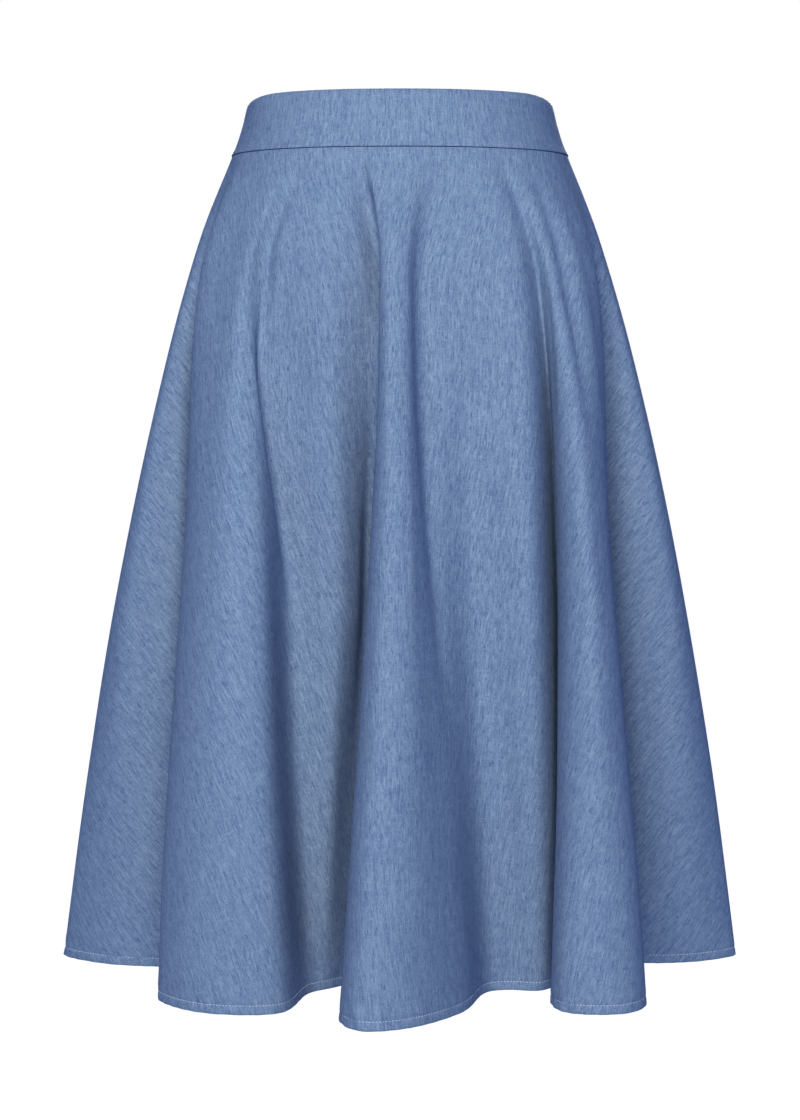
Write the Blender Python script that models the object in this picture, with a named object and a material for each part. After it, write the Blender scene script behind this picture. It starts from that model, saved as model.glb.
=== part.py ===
"""A-line skirt in light denim: a flared skirt of three panels on a shaped waistband.

The skirt hangs open and filled out, as when it is worn, with nobody in it.
Units are metres, +Z is up and the front faces -Y. The origin is the centre of the waist,
halfway up the waistband. Left and right in the names are the wearer's.
"""

import math
from collections import namedtuple

import bmesh
import bpy
from mathutils import Matrix, Vector

# Driving sizes
BAND_TOP = 0.0223
BAND_BOTTOM = -0.0222
SKIRT_TOP = -0.0225
HEM_HEIGHT = -0.6657
BAND_WALL = 0.0020
SKIRT_WALL = 0.0012
HEM_WALL = 0.0022
HEM_TURN = 0.0075
BAND_PROUD = 0.0008
SEAM_GAP = 0.0003
HIP_DROP = 0.14
MID_DROP = 0.50
SQUARENESS = 2.25

# Mesh density. Rows are crowded by a power of their count, towards the waist seam.
COLUMNS_PER_SPAN = 4
SKIRT_ROWS = 15
ROW_CROWDING = 1.15
HEM_ROWS = 2
HEM_STEP = 0.0008
BAND_COLUMNS_PER_QUARTER = 12
CLOTH_SMOOTH_ANGLE = 50
METAL_SMOOTH_ANGLE = 35

# The waistband from its top to its lower edge
BandLevel = namedtuple("BandLevel", "height half_width half_depth")
BAND_LEVELS = (
    BandLevel(BAND_TOP, 0.1180, 0.0890),
    BandLevel(BAND_TOP - 0.0025, 0.1203, 0.0912),
    BandLevel(0.0030, 0.1243, 0.0958),
    BandLevel(-0.0155, 0.1300, 0.1015),
    BandLevel(BAND_BOTTOM, 0.1334, 0.1048),
)

# The skirt's overall form without its folds. Drop runs from 0 at the waist seam to 1 at the hem.
BodyLevel = namedtuple("BodyLevel", "drop half_width front_depth back_depth")
BODY_LEVELS = (
    BodyLevel(0.00, 0.1326, 0.1040, 0.1040),
    BodyLevel(0.10, 0.1580, 0.1200, 0.1230),
    BodyLevel(0.25, 0.1855, 0.1370, 0.1430),
    BodyLevel(0.50, 0.2219, 0.1600, 0.1670),
    BodyLevel(0.75, 0.2516, 0.1800, 0.1870),
    BodyLevel(1.00, 0.2750, 0.1980, 0.2050),
)

# The fall lines of the folds, all round from the wearer's right side over the front and back.
# Turn is where a line leaves the waist seam, in degrees. Its other columns are its place over the
# hips, at half the drop and at the hem.
Fold = namedtuple("Fold", "name turn hip_x hip_y mid_x mid_y hem_x hem_y")
FOLDS = (
    Fold("side_right", 0, -0.1655, 0.0010, -0.2219, 0.0030, -0.2750, 0.0060),
    Fold("outer_right_face", 10, -0.1638, -0.0210, -0.2040, -0.0300, -0.2290, -0.0270),
    Fold("outer_right_valley", 19, -0.1560, -0.0400, -0.1440, -0.0520, -0.1270, -0.0440),
    Fold("front_right_edge", 27, -0.1520, -0.0560, -0.1660, -0.0980, -0.1848, -0.1280),
    Fold("front_right_face", 42, -0.1340, -0.0790, -0.1500, -0.1330, -0.1700, -0.1560),
    Fold("front_right_crest", 55, -0.1160, -0.0990, -0.1270, -0.1510, -0.1380, -0.1790),
    Fold("front_right_inner", 61, -0.1060, -0.0985, -0.1005, -0.1430, -0.0950, -0.1810),
    Fold("right_flank", 66, -0.0900, -0.1045, -0.0760, -0.1210, -0.0700, -0.1180),
    Fold("right_floor", 72, -0.0550, -0.1180, -0.0560, -0.1170, -0.0580, -0.1000),
    Fold("centre_valley", 79, -0.0200, -0.1195, -0.0310, -0.1165, -0.0270, -0.0990),
    Fold("centre_edge", 82, -0.0145, -0.1245, -0.0270, -0.1580, -0.0455, -0.2060),
    Fold("centre_crest", 88, -0.0070, -0.1300, -0.0090, -0.1740, -0.0260, -0.2300),
    Fold("centre_face", 94, 0.0035, -0.1285, 0.0060, -0.1700, 0.0050, -0.2210),
    Fold("centre_slope", 101, 0.0140, -0.1215, 0.0230, -0.1560, 0.0440, -0.1800),
    Fold("left_floor", 109, 0.0500, -0.1180, 0.0560, -0.1400, 0.0760, -0.1130),
    Fold("left_floor_edge", 116, 0.0780, -0.1105, 0.0860, -0.1350, 0.0960, -0.0980),
    Fold("front_left_valley", 121, 0.0925, -0.1030, 0.1135, -0.1075, 0.1340, -0.1190),
    Fold("front_left_inner", 124, 0.0985, -0.1040, 0.1160, -0.1250, 0.1140, -0.1520),
    Fold("front_left_corner", 127, 0.1040, -0.1045, 0.1250, -0.1390, 0.1220, -0.1750),
    Fold("front_left_crest", 131, 0.1110, -0.1025, 0.1390, -0.1440, 0.1480, -0.1810),
    Fold("front_left_outer", 140, 0.1310, -0.0860, 0.1540, -0.1300, 0.1760, -0.1740),
    Fold("front_left_edge", 151, 0.1490, -0.0630, 0.1610, -0.1040, 0.1850, -0.1400),
    Fold("outer_left_valley", 161, 0.1560, -0.0420, 0.1440, -0.0520, 0.1270, -0.0420),
    Fold("outer_left_face", 170, 0.1640, -0.0200, 0.2060, -0.0290, 0.2280, -0.0240),
    Fold("side_left", 180, 0.1655, 0.0010, 0.2219, 0.0030, 0.2750, 0.0060),
    Fold("outer_left_back", 190, 0.1635, 0.0240, 0.2060, 0.0380, 0.2330, 0.0450),
    Fold("back_left_valley", 200, 0.1550, 0.0440, 0.1460, 0.0600, 0.1290, 0.0510),
    Fold("back_left_edge", 211, 0.1500, 0.0640, 0.1690, 0.1080, 0.1890, 0.1310),
    Fold("back_left_face", 224, 0.1330, 0.0870, 0.1500, 0.1430, 0.1720, 0.1690),
    Fold("back_left_crest", 235, 0.1140, 0.1040, 0.1240, 0.1590, 0.1370, 0.1900),
    Fold("back_left_inner", 243, 0.0990, 0.1060, 0.0980, 0.1510, 0.0960, 0.1860),
    Fold("back_valley_left", 252, 0.0750, 0.1130, 0.0690, 0.1250, 0.0660, 0.0990),
    Fold("back_centre_edge", 260, 0.0360, 0.1270, 0.0380, 0.1660, 0.0520, 0.1980),
    Fold("centre_back", 270, 0.0000, 0.1330, 0.0030, 0.1800, 0.0090, 0.2200),
    Fold("back_centre_face", 281, -0.0330, 0.1270, -0.0340, 0.1640, -0.0320, 0.1950),
    Fold("back_valley_right", 291, -0.0640, 0.1160, -0.0630, 0.1250, -0.0600, 0.1010),
    Fold("back_right_inner", 300, -0.0960, 0.1080, -0.0960, 0.1480, -0.0990, 0.1790),
    Fold("back_right_crest", 311, -0.1180, 0.1010, -0.1280, 0.1540, -0.1420, 0.1860),
    Fold("back_right_face", 323, -0.1370, 0.0840, -0.1530, 0.1360, -0.1730, 0.1620),
    Fold("back_right_edge", 334, -0.1520, 0.0610, -0.1670, 0.1030, -0.1850, 0.1250),
    Fold("back_right_valley", 344, -0.1570, 0.0400, -0.1430, 0.0570, -0.1260, 0.0500),
    Fold("outer_right_back", 352, -0.1640, 0.0210, -0.2050, 0.0370, -0.2290, 0.0440),
)

# The zip in the centre back seam
ZIP_TOP = 0.0190
ZIP_BOTTOM = -0.2000
ZIP_WIDTH = 0.0220
ZIP_THICKNESS = 0.0008
ZIP_CLEARANCE = 0.0005
ZIP_ROWS = 12
ZIP_COLUMNS = (-0.50, -0.22, 0.00, 0.22, 0.50)
ZIP_SAG = 0.0070
ZIP_SLOPE_REACH = 0.0040

# The slider and its pull tab, in the slider's own frame: across, down along the band, outward
SLIDER_DROP = 0.0030
SLIDER_LENGTH = 0.0090
SLIDER_WIDTH = 0.0046
SLIDER_FACE = 0.0023
SLIDER_SLOPE_REACH = 0.0200
SLIDER_UNDER_CHAMFER = 0.0004
SLIDER_CHAMFER = 0.0006
BRIDGE_WIDTH = 0.0016
BRIDGE_BAR = 0.0010
BRIDGE_HALF_LENGTH = 0.0027
BRIDGE_CLEARANCE = 0.0010
BRIDGE_CHAMFER = 0.0008
BRIDGE_SINK = 0.0005
PIN_DOWN = 0.0045
PIN_OUT = 0.0033
TAB_THICKNESS = 0.0009
TAB_LENGTH = 0.0220
TAB_HALF_NECK = 0.0023
TAB_HALF_WIDTH = 0.0031
TAB_HOLE_HALF_WIDTH = 0.00125
TAB_HOLE_END = 0.0039
TAB_BAR_HALF = 0.00055
TAB_ARC_STEPS = 8

# The plain materials of the solids
Look = namedtuple("Look", "name colour roughness metallic")
DENIM = Look("denim", (0.180, 0.260, 0.430), 0.85, 0.0)
BAND_DENIM = Look("denim_band", (0.190, 0.270, 0.440), 0.85, 0.0)
ZIP_TAPE = Look("zip_tape", (0.090, 0.140, 0.270), 0.80, 0.0)
ZIP_METAL = Look("zip_metal", (0.120, 0.190, 0.340), 0.45, 0.30)


def clear_scene():
    """Remove every object that the file opened with."""
    for item in list(bpy.data.objects):
        bpy.data.objects.remove(item, do_unlink=True)


def make_material(look):
    """Make a plain material from its row of values."""
    material = bpy.data.materials.new(look.name)
    material.use_nodes = True
    shader = material.node_tree.nodes["Principled BSDF"]
    shader.inputs["Base Color"].default_value = (*look.colour, 1.0)
    shader.inputs["Roughness"].default_value = look.roughness
    shader.inputs["Metallic"].default_value = look.metallic
    return material


def hermite(before, start, end, after, knots, at):
    """Read a smooth curve between start and end; knots are the places of the four values."""
    k0, k1, k2, k3 = knots
    span = k2 - k1
    fraction = (at - k1) / span
    slope_in = (end - before) / (k2 - k0) * span
    slope_out = (after - start) / (k3 - k1) * span
    f2 = fraction * fraction
    f3 = f2 * fraction
    return (
        start * (2 * f3 - 3 * f2 + 1)
        + slope_in * (f3 - 2 * f2 + fraction)
        + end * (3 * f2 - 2 * f3)
        + slope_out * (f3 - f2)
    )


def read_levels(levels, at):
    """Read a table of levels as a smooth curve at one place of its first column."""
    places = [level[0] for level in levels]
    last = len(levels) - 1
    index = 0
    while index < last - 1 and (at - places[index + 1]) * (places[-1] - places[0]) > 0:
        index += 1
    values = []
    for column in range(1, len(levels[0])):
        p1 = levels[index][column]
        p2 = levels[index + 1][column]
        k1 = places[index]
        k2 = places[index + 1]
        k0 = places[index - 1] if index > 0 else 2 * k1 - k2
        k3 = places[index + 2] if index + 2 <= last else 2 * k2 - k1
        p0 = levels[index - 1][column] if index > 0 else 2 * p1 - p2
        p3 = levels[index + 2][column] if index + 2 <= last else 2 * p2 - p1
        values.append(hermite(p0, p1, p2, p3, (k0, k1, k2, k3), at))
    return values


def oval_point(turn, half_width, front_depth, back_depth):
    """Place a turn in degrees on the body's oval: 0 at its right side, 90 at its front."""
    angle = math.radians(turn)
    depth = front_depth if turn <= 180 else back_depth
    across = math.copysign(abs(math.cos(angle)) ** (2 / SQUARENESS), math.cos(angle))
    forward = math.copysign(abs(math.sin(angle)) ** (2 / SQUARENESS), math.sin(angle))
    return Vector((-half_width * across, -depth * forward))


def body_point(turn, drop):
    """Place a turn on the skirt's overall form at one drop."""
    return oval_point(turn, *read_levels(BODY_LEVELS, drop))


def fold_point(fold, drop):
    """Place one fall line at a drop, on a smooth line through its four places."""
    offsets = (
        (0.0, 0.0, 0.0),
        (HIP_DROP, *(Vector((fold.hip_x, fold.hip_y)) - body_point(fold.turn, HIP_DROP))),
        (MID_DROP, *(Vector((fold.mid_x, fold.mid_y)) - body_point(fold.turn, MID_DROP))),
        (1.0, *(Vector((fold.hem_x, fold.hem_y)) - body_point(fold.turn, 1.0))),
    )
    return body_point(fold.turn, drop) + Vector(read_levels(offsets, drop))


def section(drop):
    """Work out the skirt's outline at one drop, closed, with the same columns at every drop."""
    lines = [fold_point(fold, drop) for fold in FOLDS]
    count = len(lines)
    outline = []
    for index in range(count):
        p0, p1, p2, p3 = (lines[(index + step) % count] for step in (-1, 0, 1, 2))
        knots = [0.0]
        for a, b in ((p0, p1), (p1, p2), (p2, p3)):
            knots.append(knots[-1] + math.sqrt((b - a).length))
        for column in range(COLUMNS_PER_SPAN):
            at = knots[1] + (knots[2] - knots[1]) * column / COLUMNS_PER_SPAN
            outline.append(curve_point(p0, p1, p2, p3, knots, at))
    return outline


def curve_point(p0, p1, p2, p3, knots, at):
    """Read a centripetal Catmull-Rom curve between p1 and p2."""
    k0, k1, k2, k3 = knots
    a1 = p0.lerp(p1, (at - k0) / (k1 - k0))
    a2 = p1.lerp(p2, (at - k1) / (k2 - k1))
    a3 = p2.lerp(p3, (at - k2) / (k3 - k2))
    b1 = a1.lerp(a2, (at - k0) / (k2 - k0))
    b2 = a2.lerp(a3, (at - k1) / (k3 - k1))
    return b1.lerp(b2, (at - k1) / (k2 - k1))


def skirt_drops():
    """List the drops of the rows of the skirt, closer together over the hips and at the hem."""
    turn_drop = 1 - HEM_TURN / (SKIRT_TOP - HEM_HEIGHT)
    drops = [turn_drop * (row / SKIRT_ROWS) ** ROW_CROWDING for row in range(SKIRT_ROWS + 1)]
    drops.append(turn_drop + HEM_STEP)
    drops.append(1.0)
    return drops


def skirt_rows():
    """List the rows of points of the whole skirt's outer face, from the seam to the hem."""
    rows = []
    for drop in skirt_drops():
        height = SKIRT_TOP + (HEM_HEIGHT - SKIRT_TOP) * drop
        rows.append([Vector((p.x, p.y, height)) for p in section(drop)])
    return rows


def band_rows():
    """List the rows of points of the whole waistband's outer face, from its top down."""
    rows = []
    count = 4 * BAND_COLUMNS_PER_QUARTER
    for level in BAND_LEVELS:
        row = []
        for column in range(count):
            turn = 360 * column / count
            place = oval_point(turn, level.half_width, level.half_depth, level.half_depth)
            row.append(Vector((place.x, place.y, level.height)))
        rows.append(row)
    return rows


def outward(points, column):
    """Work out the level outward direction of a closed ring of points at one of them."""
    count = len(points)
    across = points[(column + 1) % count] - points[(column - 1) % count]
    return Vector((across.y, -across.x, 0)).normalized()


def wall_strip(rows, first, last, walls):
    """Cut a strip of columns out of a closed wall: its outer and inner rows of points."""
    count = len(rows[0])
    outer = []
    inner = []
    for row, points in enumerate(rows):
        outer_row = []
        inner_row = []
        for column in range(first, last + 1):
            point = points[column % count].copy()
            inward = -outward(points, column % count)
            neighbour = None
            if column == first:
                neighbour = points[(column + 1) % count]
            if column == last:
                neighbour = points[(column - 1) % count]
            if neighbour is not None:
                point += (neighbour - point).normalized() * SEAM_GAP / 2
            outer_row.append(point)
            inner_row.append(point + inward * walls[row])
        outer.append(outer_row)
        inner.append(inner_row)
    return outer, inner


def add_bands(work, one, other):
    """Close two matching rows of corners with a band of faces."""
    for index in range(len(one) - 1):
        work.faces.new((one[index], one[index + 1], other[index + 1], other[index]))


def solid_from_faces(name, outer, inner, material):
    """Close two matching grids of points into one solid, a wall between them."""
    work = bmesh.new()
    front, back = ([[work.verts.new(point) for point in row] for row in grid] for grid in (outer, inner))
    for grid in (front, back):
        for upper, lower in zip(grid, grid[1:]):
            add_bands(work, upper, lower)
    for row in (0, -1):
        add_bands(work, front[row], back[row])
    for column in (0, -1):
        add_bands(work, [row[column] for row in front], [row[column] for row in back])
    return finish_mesh(name, work, material, CLOTH_SMOOTH_ANGLE)


def finish_mesh(name, work, material, smooth_angle):
    """Turn a bmesh into a named object with its faces out, smooth where it is round."""
    mesh = bpy.data.meshes.new(name)
    bmesh.ops.recalc_face_normals(work, faces=work.faces)
    work.to_mesh(mesh)
    work.free()
    mesh.materials.append(material)
    mesh.shade_smooth()
    mesh.set_sharp_from_angle(angle=math.radians(smooth_angle))
    item = bpy.data.objects.new(name, mesh)
    bpy.context.scene.collection.objects.link(item)
    return item


def fold_index(name):
    """Find the row of a named fall line."""
    return [fold.name for fold in FOLDS].index(name)


def build_skirt(material):
    """Build the front panel and the two back panels, each a wall with a thicker turned hem."""
    rows = skirt_rows()
    walls = [SKIRT_WALL] * (len(rows) - HEM_ROWS) + [HEM_WALL] * HEM_ROWS
    whole = len(rows[0])
    left = fold_index("side_left") * COLUMNS_PER_SPAN
    back = fold_index("centre_back") * COLUMNS_PER_SPAN
    for name, first, last in (
        ("skirt_front", 0, left),
        ("skirt_back_left", left, back),
        ("skirt_back_right", back, whole),
    ):
        outer, inner = wall_strip(rows, first, last, walls)
        solid_from_faces(name, outer, inner, material)


def build_band(material):
    """Build the waistband's front and its two back halves."""
    rows = band_rows()
    walls = [BAND_WALL] * len(rows)
    quarter = BAND_COLUMNS_PER_QUARTER
    for name, first, last in (
        ("waistband_front", 0, 2 * quarter),
        ("waistband_back_left", 2 * quarter, 3 * quarter),
        ("waistband_back_right", 3 * quarter, 4 * quarter),
    ):
        outer, inner = wall_strip(rows, first, last, walls)
        solid_from_faces(name, outer, inner, material)


def back_line(height):
    """Find the band's or the skirt's outer face on the centre back seam at a height."""
    if height >= BAND_BOTTOM:
        half_depth = read_levels(BAND_LEVELS, height)[1]
        return Vector((0.0, half_depth, height))
    drop = max(0.0, (SKIRT_TOP - height) / (SKIRT_TOP - HEM_HEIGHT))
    place = fold_point(FOLDS[fold_index("centre_back")], drop)
    return Vector((place.x, place.y + BAND_PROUD, height))


def build_zip_tape(material):
    """Build the closed zip as a strip just inside the centre back seam."""
    outer = []
    inner = []
    step = (ZIP_BOTTOM - ZIP_TOP) / ZIP_ROWS
    for row in range(ZIP_ROWS + 1):
        height = ZIP_TOP + step * row
        centre = back_line(height)
        along = back_line(height - ZIP_SLOPE_REACH) - back_line(height + ZIP_SLOPE_REACH)
        out = Vector((1, 0, 0)).cross(along).normalized()
        outer_row = []
        inner_row = []
        for across in ZIP_COLUMNS:
            inset = BAND_WALL + ZIP_CLEARANCE + ZIP_SAG * across * across
            point = centre + Vector((across * ZIP_WIDTH, 0, 0)) - out * inset
            outer_row.append(point)
            inner_row.append(point - out * ZIP_THICKNESS)
        outer.append(outer_row)
        inner.append(inner_row)
    solid_from_faces("zip_tape", outer, inner, material)


def slider_frame():
    """Make the slider's frame: x across, y down along the band, z outward from its face."""
    top = back_line(BAND_TOP - SLIDER_DROP)
    down = (back_line(BAND_TOP - SLIDER_DROP - SLIDER_SLOPE_REACH) - top).normalized()
    across = Vector((1, 0, 0))
    out = across.cross(down).normalized()
    frame = Matrix((across, down, out)).transposed().to_4x4()
    frame.translation = top + out * SEAM_GAP
    return frame


def prism(name, outline, low, high, frame, material, hole=None, sideways=False):
    """Extrude an outline, with a hole if one is given, between two levels of a frame."""
    work = bmesh.new()

    def place(u, v, level):
        local = Vector((level, u, v)) if sideways else Vector((u, v, level))
        return frame @ local

    rings = []
    for loop in (outline, hole or ()):
        lower = [work.verts.new(place(u, v, low)) for u, v in loop]
        upper = [work.verts.new(place(u, v, high)) for u, v in loop]
        rings.append((lower, upper))
        for index in range(len(loop)):
            after = (index + 1) % len(loop)
            work.faces.new((lower[index], lower[after], upper[after], upper[index]))
    for side in (0, 1):
        ring = rings[0][side]
        if hole is None:
            work.faces.new(ring)
            continue
        edges = []
        for loop in (rings[0][side], rings[1][side]):
            for index in range(len(loop)):
                edges.append(work.edges.get((loop[index], loop[(index + 1) % len(loop)])))
        bmesh.ops.triangle_fill(work, edges=edges, use_beauty=True)
    return finish_mesh(name, work, material, METAL_SMOOTH_ANGLE)


def build_slider(material):
    """Build the slider: a small block joined with the bridge that holds the pull tab."""
    frame = slider_frame()
    under = SLIDER_UNDER_CHAMFER
    edge = SLIDER_CHAMFER
    block_outline = (
        (0.0, under), (under, 0.0),
        (SLIDER_LENGTH - under, 0.0), (SLIDER_LENGTH, under),
        (SLIDER_LENGTH, SLIDER_FACE - edge), (SLIDER_LENGTH - edge, SLIDER_FACE),
        (edge, SLIDER_FACE), (0.0, SLIDER_FACE - edge),
    )
    half = SLIDER_WIDTH / 2
    block = prism("zip_slider", block_outline, -half, half, frame, material, sideways=True)
    low = PIN_DOWN - BRIDGE_HALF_LENGTH
    high = PIN_DOWN + BRIDGE_HALF_LENGTH
    sunk = SLIDER_FACE - BRIDGE_SINK
    under = PIN_OUT + BRIDGE_CLEARANCE
    top = under + BRIDGE_BAR
    edge = BRIDGE_CHAMFER
    bridge_outline = (
        (low, sunk), (low, top - edge), (low + edge, top),
        (high - edge, top), (high, top - edge), (high, sunk),
        (high - BRIDGE_BAR, sunk), (high - BRIDGE_BAR, under),
        (low + BRIDGE_BAR, under), (low + BRIDGE_BAR, sunk),
    )
    half = BRIDGE_WIDTH / 2
    bridge = prism("bridge", bridge_outline, -half, half, frame, material, sideways=True)
    bridge.hide_render = True
    bridge.display_type = "WIRE"
    union = block.modifiers.new("bridge", "BOOLEAN")
    union.operation = "UNION"
    union.object = bridge


def build_pull(material):
    """Build the pull tab hanging down the band from the bar that runs under the bridge."""
    frame = slider_frame() @ Matrix.Translation((0, PIN_DOWN, PIN_OUT))
    tip_centre = TAB_LENGTH - TAB_HALF_WIDTH
    outline = [(-TAB_HALF_NECK, -TAB_BAR_HALF), (-TAB_HALF_NECK, TAB_HOLE_END)]
    for step in range(TAB_ARC_STEPS + 1):
        angle = math.pi * step / TAB_ARC_STEPS
        along = tip_centre + TAB_HALF_WIDTH * math.sin(angle)
        outline.append((-TAB_HALF_WIDTH * math.cos(angle), along))
    outline += [(TAB_HALF_NECK, TAB_HOLE_END), (TAB_HALF_NECK, -TAB_BAR_HALF)]
    hole = [
        (-TAB_HOLE_HALF_WIDTH, TAB_BAR_HALF), (-TAB_HOLE_HALF_WIDTH, TAB_HOLE_END),
        (TAB_HOLE_HALF_WIDTH, TAB_HOLE_END), (TAB_HOLE_HALF_WIDTH, TAB_BAR_HALF),
    ]
    half = TAB_THICKNESS / 2
    prism("zip_pull", outline, -half, half, frame, material, hole=hole)


def main():
    """Build the whole skirt."""
    clear_scene()
    metal = make_material(ZIP_METAL)
    build_skirt(make_material(DENIM))
    build_band(make_material(BAND_DENIM))
    build_zip_tape(make_material(ZIP_TAPE))
    build_slider(metal)
    build_pull(metal)


main()
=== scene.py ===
import math
from collections import namedtuple

import bpy
import numpy as np
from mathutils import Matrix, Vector, noise


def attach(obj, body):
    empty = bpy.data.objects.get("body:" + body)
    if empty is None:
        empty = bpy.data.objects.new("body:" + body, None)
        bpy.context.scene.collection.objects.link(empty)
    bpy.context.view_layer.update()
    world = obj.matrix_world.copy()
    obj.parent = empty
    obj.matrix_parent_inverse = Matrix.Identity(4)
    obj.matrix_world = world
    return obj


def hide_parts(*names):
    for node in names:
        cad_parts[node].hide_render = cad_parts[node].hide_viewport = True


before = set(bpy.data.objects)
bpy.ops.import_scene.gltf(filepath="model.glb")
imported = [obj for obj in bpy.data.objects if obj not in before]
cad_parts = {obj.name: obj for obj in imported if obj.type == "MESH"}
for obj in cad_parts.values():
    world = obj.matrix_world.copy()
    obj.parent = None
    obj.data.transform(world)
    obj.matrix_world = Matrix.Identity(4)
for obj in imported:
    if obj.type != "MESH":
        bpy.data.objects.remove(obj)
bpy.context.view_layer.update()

# The skirt's sizes, as in the solids. Units are metres.
BAND_TOP = 0.0223
BAND_BOTTOM = -0.0222
SKIRT_TOP = -0.0225
HEM_HEIGHT = -0.6657
BAND_WALL = 0.0020
SKIRT_WALL = 0.0012
HEM_WALL = 0.0022
SEAM_GAP = 0.0003
HIP_DROP = 0.14
MID_DROP = 0.50
SQUARENESS = 2.25

# The waistband from its top to its lower edge
BandLevel = namedtuple("BandLevel", "height half_width half_depth")
BAND_LEVELS = (
    BandLevel(BAND_TOP, 0.1180, 0.0890),
    BandLevel(BAND_TOP - 0.0025, 0.1203, 0.0912),
    BandLevel(0.0030, 0.1243, 0.0958),
    BandLevel(-0.0155, 0.1300, 0.1015),
    BandLevel(BAND_BOTTOM, 0.1334, 0.1048),
)

# The skirt's overall form without its folds. Drop runs from 0 at the waist seam to 1 at the hem.
BodyLevel = namedtuple("BodyLevel", "drop half_width front_depth back_depth")
BODY_LEVELS = (
    BodyLevel(0.00, 0.1326, 0.1040, 0.1040),
    BodyLevel(0.10, 0.1580, 0.1200, 0.1230),
    BodyLevel(0.25, 0.1855, 0.1370, 0.1430),
    BodyLevel(0.50, 0.2219, 0.1600, 0.1670),
    BodyLevel(0.75, 0.2516, 0.1800, 0.1870),
    BodyLevel(1.00, 0.2750, 0.1980, 0.2050),
)

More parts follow.
